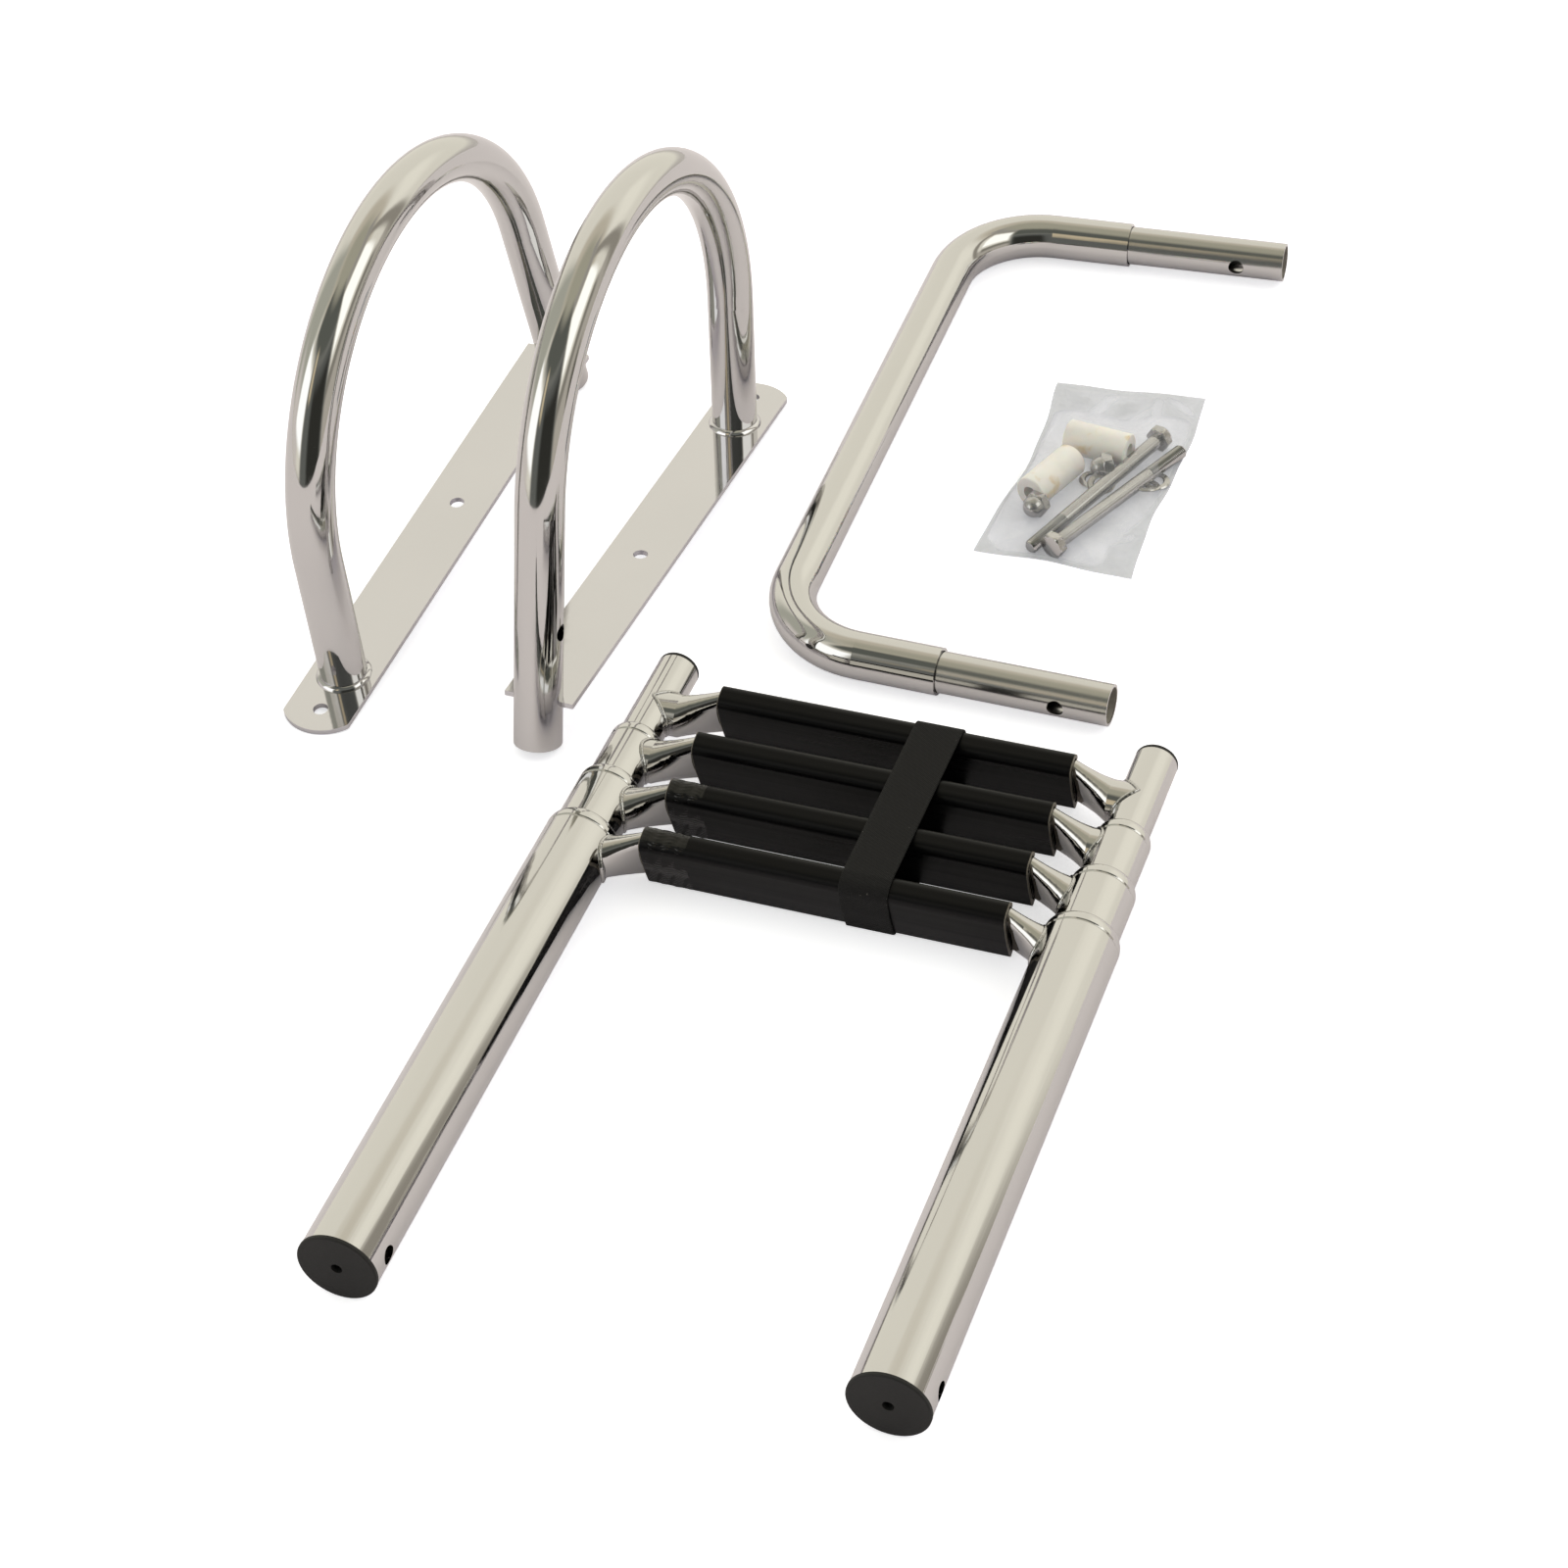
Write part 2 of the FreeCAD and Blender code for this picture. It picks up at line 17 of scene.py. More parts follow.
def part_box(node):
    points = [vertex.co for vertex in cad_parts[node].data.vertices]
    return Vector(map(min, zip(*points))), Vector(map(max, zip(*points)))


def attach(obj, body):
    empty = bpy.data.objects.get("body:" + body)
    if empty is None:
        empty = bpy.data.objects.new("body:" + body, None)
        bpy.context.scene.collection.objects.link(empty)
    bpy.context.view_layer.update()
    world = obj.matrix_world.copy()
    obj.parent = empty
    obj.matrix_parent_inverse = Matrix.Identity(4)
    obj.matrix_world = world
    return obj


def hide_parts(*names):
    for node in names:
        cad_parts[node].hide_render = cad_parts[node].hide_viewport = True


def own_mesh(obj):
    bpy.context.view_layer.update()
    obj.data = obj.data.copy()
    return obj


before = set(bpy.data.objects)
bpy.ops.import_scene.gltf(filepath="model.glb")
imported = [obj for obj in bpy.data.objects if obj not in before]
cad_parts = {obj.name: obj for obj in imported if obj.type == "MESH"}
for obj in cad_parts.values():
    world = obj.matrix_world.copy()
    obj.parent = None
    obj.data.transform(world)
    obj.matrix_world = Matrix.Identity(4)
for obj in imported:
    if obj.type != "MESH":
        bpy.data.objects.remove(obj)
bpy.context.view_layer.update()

MM = 0.001
left_tube, right_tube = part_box("outer_tube_left"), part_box("outer_tube_right")
cap_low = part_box("hinge_cap_left")[0]
ORIGIN = np.array([(left_tube[0].x + right_tube[1].x) / 2, cap_low.y, 0.0]) / MM
AXIS_Z = (left_tube[0].z + left_tube[1].z) / 2 / MM
SIDE_X = (right_tube[0].x + right_tube[1].x) / 2 / MM - ORIGIN[0]
print("hinge end at", ORIGIN.round(2), "mm, tubes", round(SIDE_X, 2), "mm from the middle")

# %% [markdown]
# The camera. Three measured things say that: where the camera stands, the spot on the
# floor in the middle of its picture, and a slight roll. A level camera is aimed first and
# then rolled about its own line of sight, which keeps the three apart.

# %% Camera
CAMERA_PLACE = Vector((0.5642, -1.3627, 1.2553))
CAMERA_AIM = Vector((0.0346, -0.0686, 0.0))
CAMERA_ROLL = math.radians(-3.93)
CAMERA_LENS = 85.06
SENSOR_WIDTH = 36.0

camera_data = bpy.data.cameras.new("camera")
camera_data.lens = CAMERA_LENS
camera_data.sensor_width = SENSOR_WIDTH
camera = bpy.data.objects.new("camera", camera_data)
bpy.context.scene.collection.objects.link(camera)
camera.location = CAMERA_PLACE
camera.rotation_mode = "QUATERNION"
level = (CAMERA_AIM - CAMERA_PLACE).to_track_quat("-Z", "Y")
camera.rotation_quaternion = level @ Quaternion((0, 0, 1), CAMERA_ROLL)
bpy.context.scene.camera = camera
sight = CAMERA_PLACE - CAMERA_AIM
print("camera looks down at", round(math.degrees(math.asin(sight.z / sight.length)), 1), "degrees")

# %% [markdown]
# Shader arithmetic. A material here is a formula over the surface: a little noise, a mask,
# a colour between two others. Adding Math nodes one by one hides that formula, so a small
# class wraps one output of a node and lets Python's own operators add the nodes. Every
# other kind of node comes from one method, settings first and then its inputs.


# %% One wire between nodes
class Wire:
    """One output of a node. Arithmetic on it adds Math nodes behind it."""

    def __init__(self, tree, socket):
        self.tree = tree
        self.socket = socket

    def node(self, kind, settings=None, inputs=None, output=0):
        """A node of any kind: its settings, then a value or a wire for each input."""
        made = self.tree.nodes.new(kind)
        for name, value in (settings or {}).items():
            if name == "stops":
                place_stops(made.color_ramp, value)
            else:
                setattr(made, name, value)
        for key, value in (inputs or {}).items():
            join(self.tree, made.inputs[key], value)
        return Wire(self.tree, made.outputs[output] if made.outputs else None)

    def math(self, operation, *others):
        inputs = dict(enumerate((self,) + others))
        return self.node("ShaderNodeMath", {"operation": operation}, inputs)

    def __add__(self, other):
        return self.math("ADD", other)

    def __sub__(self, other):
        return self.math("SUBTRACT", other)

    def __rsub__(self, other):
        return self.node("ShaderNodeMath", {"operation": "SUBTRACT"}, {0: other, 1: self})

    def __mul__(self, other):
        return self.math("MULTIPLY", other)

    __radd__ = __add__
    __rmul__ = __mul__

    def between(self, low, high):
        """0 below low, 1 above high, and a smooth step from one to the other."""
        ends = {0: self, 1: low, 2: high}
        return self.node("ShaderNodeMapRange", {"interpolation_type": "SMOOTHSTEP"}, ends)

    def mix(self, first, second):
        """The first colour where this wire is 0 and the second where it is 1."""
        ends = {0: self, 6: first, 7: second}
        return self.node("ShaderNodeMix", {"data_type": "RGBA"}, ends, 2)

    def noise(self, scale, detail=2.0, stretch=(1, 1, 1)):
        """Noise over this wire's coordinates, which are scaled first to draw it out."""
        drawn = self.node("ShaderNodeMapping", {}, {0: self, 3: stretch})
        return drawn.node("ShaderNodeTexNoise", {}, {0: drawn, 2: scale, 3: detail})


def place_stops(ramp, stops):
    """A ramp's stops, as (position, colour) pairs."""
    while len(ramp.elements) < len(stops):
        ramp.elements.new(1.0)
    for element, (position, colour) in zip(ramp.elements, stops):
        element.position = position
        element.color = colour


def join(tree, socket, value):
    """Links a wire to a socket, or sets a plain value on it."""
    if isinstance(value, Wire):
        tree.links.new(value.socket, socket)
    else:
        socket.default_value = value


# %% [markdown]
# The studio. Polished tube has hardly a colour of its own: it shows the room. So the world
# is painted as panels, each over a span of heading and a span of height with soft edges,
# one over another. Only mirrors see the room as it is: looked at directly it is plain and
# pale, and on matt things it shines more strongly, as the soft lights above the table do.

# %% The room as a formula
FAR_WALL = (1.05, 1.01, 0.87, 1)
PLAIN = (0.95, 0.95, 0.95, 1)
ROUND = (-400, 400)
PANELS = (
    ("warm light on the far wall", (132, 168), (18, 46), 9, (1.20, 1.16, 1.00, 1)),
    ("far wall above the light", ROUND, (54, 95), 7, (0.74, 0.68, 0.54, 1)),
    ("skirting on the far wall", ROUND, (-40, -2), 3, (0.70, 0.66, 0.60, 1)),
    ("grey screen", (-108, -60), (-20, 64), 9, (0.55, 0.55, 0.46, 1)),
    ("pink light under the lamp", (-90, -44), (-8, 14), 7, (0.86, 0.80, 0.74, 1)),
    ("ceiling", ROUND, (69, 95), 7, (0.52, 0.50, 0.385, 1)),
    ("wall under the right lamp", (58, 122), (-30, 20), 4, (0.60, 0.56, 0.48, 1)),
    ("shade under the right lamp", (60, 112), (13, 23), 3, (0.33, 0.31, 0.26, 1)),
    ("skirting on the right", (92, 106), (-8, 3), 3, (0.20, 0.19, 0.16, 1)),
    ("post on the far wall", (120, 130), (-2, 64), 3, (0.40, 0.37, 0.31, 1)),
    ("dark ceiling on the right", (60, 150), (62, 72), 5, (0.44, 0.42, 0.37, 1)),
    ("right lamp", (63, 111), (29, 60), 3, (1.75, 1.75, 1.62, 1)),
    ("room above the doorway", (-52, 62), (44, 72), 7, (0.145, 0.152, 0.13, 1)),
    ("room beside the doorway", (-24, 60), (-30, 48), 6, (0.165, 0.17, 0.155, 1)),
    ("dark doorway", (4, 56), (-30, 37), 7, (0.042, 0.042, 0.036, 1)),
    ("warm strip beside the doorway", (-18, -8), (30, 50), 3, (0.80, 0.68, 0.46, 1)),
    ("left lamp", (-62, -26), (7, 38), 3, (1.70, 1.72, 1.68, 1)),
)

world = bpy.data.worlds.new("studio")
bpy.context.scene.world = world
world.use_nodes = True
world.node_tree.nodes.clear()
sky = world.node_tree.nodes.new("ShaderNodeTexCoord")
look = Wire(world.node_tree, sky.outputs["Generated"])
east, north, high = (look.node("ShaderNodeSeparateXYZ", {}, {0: look}, axis) for axis in range(3))
heading = east.math("ARCTAN2", 0 - north) * math.degrees(1)
rise = high.math("ARCSINE") * math.degrees(1)


def panel(sides, heights, soft):
    """1 inside a span of heading and a span of height, and 0 outside, with soft edges."""
    across = heading.between(sides[0] - soft, sides[0] + soft)
    across = across * (1 - heading.between(sides[1] - soft, sides[1] + soft))
    upward = rise.between(heights[0] - soft, heights[0] + soft)
    return across * upward * (1 - rise.between(heights[1] - soft, heights[1] + soft))


room = FAR_WALL
for name, sides, heights, soft, colour in PANELS:
    room = panel(sides, heights, soft).mix(room, colour)
SOFT_LIGHT = 0.6
seen = look.node("ShaderNodeLightPath")
matt = look.node("ShaderNodeLightPath", {}, {}, 2)
room = seen.mix(room, PLAIN)
shine = look.node("ShaderNodeBackground", {}, {0: room, 1: matt * SOFT_LIGHT + 1})
shine.node("ShaderNodeOutputWorld", {}, {0: shine})
bpy.context.scene.view_settings.view_transform = "Standard"
print("room painted from", len(PANELS), "panels")

# %% [markdown]
# Piece making. Every new piece is one or more grids of points: stations along a path, and
# points round a profile at each station. Neighbouring points make four-sided faces, whole
# arrays at a time. A ring closes on itself round the profile, a loop closes along the path,
# and a cap closes each end of a rod, so that nothing is open to look into.


# %% Grids into meshes
SEAM = 2e-6


def grid_faces(rows, columns, ring, loop, cap, start=0):
    """Faces over a grid of points counted row by row, with end caps if asked."""
    index = np.arange(rows * columns).reshape(rows, columns) + start
    if ring:
        index = np.hstack([index, index[:, :1]])
    if loop:
        index = np.vstack([index, index[:1]])
    corners = (index[:-1, :-1], index[:-1, 1:], index[1:, 1:], index[1:, :-1])
    faces = np.stack(corners, axis=-1).reshape(-1, 4).tolist()
    if cap:
        faces += [index[0, :columns][::-1].tolist(), index[-1, :columns].tolist()]
    return faces


def piece(name, grids, material, body, ring=True, loop=False, cap=True, crease=40):
    """One object from grids of points in millimetres, set in the frame and riding a body."""
    points, faces = [], []
    for grid in grids:
        rows, columns = grid.shape[:2]
        start = sum(len(block) for block in points)
        faces += grid_faces(rows, columns, ring, loop, cap, start)
        points.append(grid.reshape(-1, 3))
    placed = (np.vstack(points) + ORIGIN) * MM
    mesh = bpy.data.meshes.new(name)
    mesh.from_pydata(placed.tolist(), [], faces)
    merged = bmesh.new()
    merged.from_mesh(mesh)
    bmesh.ops.remove_doubles(merged, verts=merged.verts, dist=SEAM)
    bmesh.ops.dissolve_degenerate(merged, edges=merged.edges, dist=SEAM)
    merged.to_mesh(mesh)
    merged.free()
    mesh.shade_smooth()
    mesh.set_sharp_from_angle(angle=math.radians(crease))
    mesh.materials.append(material)
    made = bpy.data.objects.new(name, mesh)
    bpy.context.scene.collection.objects.link(made)
    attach(made, body)
    return made


def along_path(path, profile, normal, loop=False):
    """A profile carried along a path. Each station has two unit vectors square to the
    path: the given normal, made square to it, and the path's direction crossed with
    that. The profile's two numbers count along them."""
    ahead = np.roll(path, -1, 0) - np.roll(path, 1, 0) if loop else np.gradient(path, axis=0)
    ahead = ahead / np.linalg.norm(ahead, axis=1, keepdims=True)
    normal = np.broadcast_to(normal, ahead.shape)
    across = normal - ahead * (normal * ahead).sum(1, keepdims=True)
    across = across / np.linalg.norm(across, axis=1, keepdims=True)
    up = np.cross(ahead, across)
    profile = np.broadcast_to(profile, (len(path),) + np.shape(profile)[-2:])
    return (path[:, None] + profile[..., :1] * across[:, None] + profile[..., 1:] * up[:, None])


def circle(radius, sides):
    """A round profile, anticlockwise seen against the path."""
    turn = np.linspace(0, 2 * np.pi, sides, endpoint=False)
    return np.stack([radius * np.cos(turn), radius * np.sin(turn)], axis=-1)


# %% [markdown]
# The floor. It is a plain white sheet under the whole kit. Seen directly it glows a little
# by itself, as white paper on a light table does, which keeps the shadows as faint as they
# are in the photograph. In the tubes it hardly glows, so the narrow places between them
# are as dark as they really are, and beyond its edge the tubes see the room's own floor.


# %% A material's first and last node
def new_material(name):
    """An empty material, and the wire that carries its Object coordinates."""
    made = bpy.data.materials.new(name)
    made.use_nodes = True
    made.node_tree.nodes.clear()
    coordinates = made.node_tree.nodes.new("ShaderNodeTexCoord")
    return made, Wire(made.node_tree, coordinates.outputs["Object"])


def shade(place, inputs, relief=None, depth=1.0):
    """The Principled shader at the end of a material, with relief as bump in metres."""
    inputs = dict(inputs)
    if relief is not None:
        lift = {"Strength": 1.0, "Distance": depth, "Height": relief}
        inputs["Normal"] = place.node("ShaderNodeBump", {}, lift)
    surface = place.node("ShaderNodeBsdfPrincipled", {}, inputs)
    surface.node("ShaderNodeOutputMaterial", {}, {0: surface})
    return surface


def part_of(place, axis):
    """One of the three coordinates, in metres."""
    return place.node("ShaderNodeSeparateXYZ", {}, {0: place}, "XYZ".index(axis))


# %% Floor
FLOOR_HALF = 1900.0
FLOOR_DROP = 0.2
paper, place = new_material("white paper")
grain = place.noise(3.0, 2.0)
direct = place.node("ShaderNodeLightPath")
white = grain.mix((0.78, 0.79, 0.89, 1), (0.80, 0.81, 0.91, 1))
shade(place, {"Base Color": direct.mix((0.83, 0.79, 0.87, 1), white),
              "Roughness": 0.9, "Specular IOR Level": 0.0,
              "Emission Color": direct.mix((0.07, 0.07, 0.07, 1), (1, 1, 1, 1)),
              "Emission Strength": 0.60})
corners = FLOOR_HALF * np.array([[[-1, -1, 0], [1, -1, 0]], [[-1, 1, 0], [1, 1, 0]]], float)
mesh = bpy.data.meshes.new("floor")
mesh.from_pydata(((corners - (0, 0, FLOOR_DROP)).reshape(-1, 3) * MM).tolist(), [], [(0, 1, 3, 2)])
mesh.materials.append(paper)
floor = bpy.data.objects.new("floor", mesh)
bpy.context.scene.collection.objects.link(floor)

# %% [markdown]
# Polished steel. A mirror with faint faults: buffing leaves long shallow waves that bend
# the reflections, drawn out along the tube, and patches that are a touch duller. One
# function makes the steel for each direction in which a tube runs, because the waves
# follow the tube. Bump in thousandths of a millimetre is enough to make a line wander.


# %% Steel
def polished_steel(name, stretch, wave=0.00012, rough=(0.035, 0.09), tint=0.575, lines=0.12):
    """Bright tube: a pale metal whose gloss and buffing waves follow the stretched noise,
    with finer lines added to the waves."""
    made, place = new_material(name)
    waves = place.noise(40.0, 2.0, stretch)
    streaks = place.noise(160.0, 3.0, stretch)
    patches = place.noise(9.0, 2.0)
    colour = patches.mix((tint, tint * 0.99, tint * 0.985, 1),
                         (tint * 1.06, tint * 1.045, tint * 1.03, 1))
    gloss = (streaks * 0.7 + patches * 0.3).node(
        "ShaderNodeMapRange", {}, {0: streaks * 0.7 + patches * 0.3, 1: 0.3, 2: 0.7,
                                   3: rough[0], 4: rough[1]})
    shade(place, {"Base Color": colour, "Metallic": 1.0, "Roughness": gloss},
          waves + streaks * lines, wave)
    return made


side_steel = polished_steel("side tube steel", (1, 0.02, 1), 0.0004, lines=0.6)
step_steel = polished_steel("step tube steel", (0.12, 1, 1), 0.0002)
rail_steel = polished_steel("bent tube steel", (0.5, 0.5, 0.5), 0.00015)
insert_steel = polished_steel("brushed insert steel", (0.06, 1, 1), 0.00014, (0.10, 0.24), 0.56)
bolt_steel = polished_steel("bolt steel", (1, 1, 1), 0.00005, (0.16, 0.30), 0.52)

# %% [markdown]
# The strip plates are cut from polished sheet, a little duller than the tubes, with fine
# scratches that run every way where the ladder was laid down and picked up.

# %% Plate steel
plate_steel, place = new_material("plate steel")
scratches = place.noise(260.0, 4.0, (1, 0.15, 1)) * 0.5 + place.noise(240.0, 4.0, (0.15, 1, 1)) * 0.5
clouds = place.noise(14.0, 2.0)
shade(place, {"Base Color": clouds.mix((0.59, 0.583, 0.60, 1), (0.63, 0.62, 0.64, 1)),
              "Metallic": 1.0,
              "Roughness": scratches.node("ShaderNodeMapRange", {}, {
                  0: scratches, 1: 0.35, 2: 0.65, 3: 0.03, 4: 0.08})},
      scratches + clouds * 3, 0.000012)

# %% [markdown]
# Plastics. The covers of the steps are extruded, black and slightly shiny along the
# extrusion, and their saw-cut ends are painted a lighter warm grey: partly the duller cut
# face, partly a painted highlight where the ends catch the light. The end caps are moulded
# in a softer grey-black with a fine grain, and so are the plugs in the ladder's feet.

# %% Black and grey plastic
COVER_HALF = 93.1
cover_black, place = new_material("black cover plastic")
from_middle = (part_of(place, "X") - ORIGIN[0] * MM).math("ABSOLUTE")
# Painted highlight, in part: the last half millimetre at each cut end is a lighter warm grey, for the
# duller cut face and for the light that the ends catch.
cut_end_and_highlight = from_middle.between((COVER_HALF - 0.5) * MM, (COVER_HALF - 0.2) * MM)
drawn = place.noise(300.0, 3.0, (0.02, 1, 1))
dull = drawn.node("ShaderNodeMapRange", {}, {0: drawn, 1: 0.3, 2: 0.7, 3: 0.26, 4: 0.42})
black = drawn.mix((0.001, 0.001, 0.0016, 1), (0.003, 0.003, 0.0036, 1))
shade(place, {"Base Color": cut_end_and_highlight.mix(black, (0.15, 0.135, 0.115, 1)),
              "Roughness": dull, "Specular IOR Level": 0.17}, drawn, 0.00008)


def moulded(name, dark, light, gloss):
    """A moulded plastic or rubber with a fine even grain."""
    made, place = new_material(name)
    grain = place.noise(900.0, 3.0)
    cloud = place.noise(60.0, 2.0)
    shade(place, {"Base Color": cloud.mix(dark, light), "Roughness": gloss,
                  "Specular IOR Level": 0.2}, grain, 0.00006)
    return made


cap_grey = moulded("grey cap plastic", (0.017, 0.017, 0.0175, 1), (0.022, 0.022, 0.022, 1), 0.55)
plug_black = moulded("black plug plastic", (0.012, 0.012, 0.012, 1), (0.02, 0.02, 0.02, 1), 0.45)

# %% [markdown]
# The solids that keep their own shape get these finishes in the slots that they came with.

# %% Finishes on the solids
for name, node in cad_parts.items():
    if name.startswith(("outer_tube", "section_")):
        finish = side_steel
    elif name.startswith("step_tube"):
        finish = step_steel
    elif name.endswith("_plate"):
        finish = plate_steel
    elif name.startswith("tread_cover"):
        finish = cover_black
    elif name.startswith("hinge_cap"):
        finish = cap_grey
    elif name.startswith("foot_plug"):
        finish = plug_black
    elif name.startswith("standoff_insert"):
        finish = insert_steel
    else:
        finish = rail_steel
    for slot in node.material_slots:
        slot.material = finish
print("finishes on", len(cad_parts), "solids")

# %% [markdown]
# The webbing strap holds the four steps together. It is a flat band of woven black
# polyester, so its cross section is a thin bar with round edges, carried round a closed
# path: over the tops, down the near step, and back under. It is drawn tight, so the path
# is a belt round four corners: the covers' corners at the two ends. For each direction,
# the belt touches the corner that reaches furthest that way. The weave is in the finish.

# %% Strap
STRAP_X = 22.5
STRAP_WIDTH = 25.0
STRAP_THICKNESS = 1.3
STRAP_GAP = 0.2
COVER_LEAN = math.radians(16.0)
COVER_TALL, COVER_DEEP = 17.3, 6.6
COVER_BULGE = 1.0
ROUND_CORNER, SHARP_CORNER = 5.0, 2.0


def belt(centres, radii, samples):
    """A tight loop round circles: in each direction n the point is c + r n, for the circle
    with the greatest c . n + r. Straight runs join the arcs, sampled at even lengths."""
    turn = np.linspace(0, 2 * np.pi, 1440, endpoint=False)
    out = np.stack([np.cos(turn), np.sin(turn)])
    furthest = (centres @ out + radii[:, None]).argmax(0)
    outline = centres[furthest] + radii[furthest][:, None] * out.T
    outline = np.vstack([outline, outline[:1]])
    run = np.r_[0, np.cumsum(np.linalg.norm(np.diff(outline, axis=0), axis=1))]
    even = np.linspace(0, run[-1], samples, endpoint=False)
    return np.stack([np.interp(even, run, outline[:, axis]) for axis in (0, 1)], axis=-1)


def flat_bar(width, thickness, edge=6):
    """A bar's profile with half-round edges."""
    turn = np.linspace(-np.pi / 2, np.pi / 2, edge)
    half = np.stack([width / 2 - thickness / 2 + thickness / 2 * np.cos(turn),
                     thickness / 2 * np.sin(turn)], axis=-1)
    across = np.linspace(1, -1, 14)[1:-1] * (width / 2 - thickness / 2)
    top = np.stack([across, np.full(len(across), thickness / 2)], axis=-1)
    return np.vstack([half, top, -half, -top])


# how far each rounded corner's centre is out towards the hinge end, and up, and its radius
COVER_CORNERS = np.array([
    [COVER_DEEP - ROUND_CORNER, COVER_TALL - ROUND_CORNER, ROUND_CORNER],
    [ROUND_CORNER - COVER_DEEP, COVER_TALL - ROUND_CORNER, ROUND_CORNER],
    [ROUND_CORNER - COVER_DEEP, ROUND_CORNER - COVER_TALL, ROUND_CORNER],
    [COVER_DEEP - SHARP_CORNER, SHARP_CORNER - COVER_TALL, SHARP_CORNER],
    [COVER_DEEP + COVER_BULGE - ROUND_CORNER, 0.0, ROUND_CORNER]])


def leaned(out, up):
    """Y and Z from a cover's middle, for distances out and up in its own leaning plane."""
    return np.stack([-out * math.cos(COVER_LEAN) - up * math.sin(COVER_LEAN),
                     up * math.cos(COVER_LEAN) - out * math.sin(COVER_LEAN)], axis=-1)


def cover_middle(number):
    """A cover's middle, in Y and Z: its far bottom corner touches the box's far side."""
    back = leaned(*COVER_CORNERS[2, :2])[0] + ROUND_CORNER
    return np.array([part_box("tread_cover_" + str(number))[1].y / MM - ORIGIN[1] - back, AXIS_Z])


half_thick = STRAP_THICKNESS / 2
touched = leaned(COVER_CORNERS[:, 0], COVER_CORNERS[:, 1])
touched = np.vstack([touched + cover_middle(1), touched + cover_middle(4)])
loop = belt(touched, np.tile(COVER_CORNERS[:, 2], 2) + STRAP_GAP + half_thick, 420)
path = np.column_stack([np.full(len(loop), STRAP_X), loop])
band = along_path(path, flat_bar(STRAP_WIDTH, STRAP_THICKNESS), (1.0, 0, 0), loop=True)
webbing, place = new_material("black webbing")
across_band = part_of(place, "X")
along_band = part_of(place, "Y") + part_of(place, "Z")
ribs = (across_band * (2 * np.pi / 0.0016)).math("SINE")
picks = (along_band * (2 * np.pi / 0.0011)).math("SINE")
lint = place.noise(420.0, 2.0).between(0.74, 0.78)
shade(place, {"Base Color": lint.mix((0.012, 0.012, 0.0125, 1), (0.08, 0.075, 0.07, 1)),
              "Roughness": 0.82, "Specular IOR Level": 0.12, "Sheen Weight": 0.03},
      ribs * picks, 0.00012)
strap = piece("webbing_strap", [band], webbing, "outer_section", loop=True, cap=False)
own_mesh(strap)
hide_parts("strap")
print("strap loop", round(float(np.linalg.norm(np.diff(loop, axis=0), axis=1).sum())), "mm")

# %% [markdown]
# Packing tape. The first two steps still have a turn of thin clear tape round their left
# ends. It is the cover's own outline, a hair larger, and the wrinkles lift it from the
# cover: between a tight loop and a loose one, by a wave that wanders along the step.

# %% Tape
TAPE_WIDTHS = (24.0, 19.0)
tape_gloss, place = new_material("clear tape on black")
shade(place, {"Base Color": (0.006, 0.006, 0.0065, 1), "Roughness": 0.14, "Specular IOR Level": 0.45},
      place.noise(420.0, 2.0, (1, 0.4, 0.4)), 0.00012)


def tape_turn(number, width):
    """A sleeve round one cover: loops at stations along X, out over the wrinkles and back
    along the cover. Its wrinkle at loop point s is sin(a s + sin x), squared."""
    corners = leaned(COVER_CORNERS[:, 0], COVER_CORNERS[:, 1]) + cover_middle(number)
    tight = belt(corners, COVER_CORNERS[:, 2] + 0.06, 180)
    loose = belt(corners, COVER_CORNERS[:, 2] + 0.36, 180)
    x = np.linspace(0.6, width, 40)[:, None]
    s = np.linspace(0, 2 * np.pi, 180, endpoint=False)
    lift = np.sin(23 * s + 1.4 * np.sin(x / 2.3 + number)) ** 2 * np.sin(np.pi * x / width) ** 0.3
    lift = 0.15 + 0.85 * lift * (0.55 + 0.45 * np.sin(x * 0.9 + 5 * s))
    outer = tight + (loose - tight) * lift[..., None]
    inner = np.broadcast_to(tight - (loose - tight) * 0.1, outer.shape)
    stations = np.vstack([x, x[::-1]]) - COVER_HALF
    yz = np.concatenate([outer, inner[::-1]])
    return np.dstack([np.broadcast_to(stations, yz.shape[:2]), yz])


for number, (moving, width) in enumerate(zip(("outer_section", "section_2"), TAPE_WIDTHS), 1):
    piece("tape_" + str(number), [tape_turn(number, width)], tape_gloss, moving,
          loop=True, cap=False)
print("tape on", len(TAPE_WIDTHS), "steps")

# %% [markdown]
# Welds. Each step's round end is coped over the side tube and welded on all round, so the
# seam is where two cylinders meet: round the step at angle t, it stands off the side tube's
# axis by the square root of R squared less z squared. The bead is a small round bar along
# that curve, with the ripples that a welder leaves, and half of it is sunk in the joint.

# %% Weld beads
STEP_RADIUS = 11.1
BEAD = 1.0
weld_steel = polished_steel("weld steel", (1, 1, 1), 0.00006, (0.10, 0.22), 0.5)


def seam(step_y, side, tube_radius):
    """The curve where a step meets a side tube, and the way out from the joint."""
    turn = np.linspace(0, 2 * np.pi, 180, endpoint=False)
    y, z = STEP_RADIUS * np.cos(turn), STEP_RADIUS * np.sin(turn)
    off = np.sqrt(np.maximum(tube_radius ** 2 - z ** 2, 0.0))
    curve = np.stack([side * (SIDE_X - off), y + step_y, z + AXIS_Z], axis=-1)
    around_step = np.stack([0 * turn, np.cos(turn), np.sin(turn)], axis=-1)
    around_tube = np.stack([-side * off / tube_radius, 0 * turn, z / tube_radius], axis=-1)
    return curve, around_step + around_tube


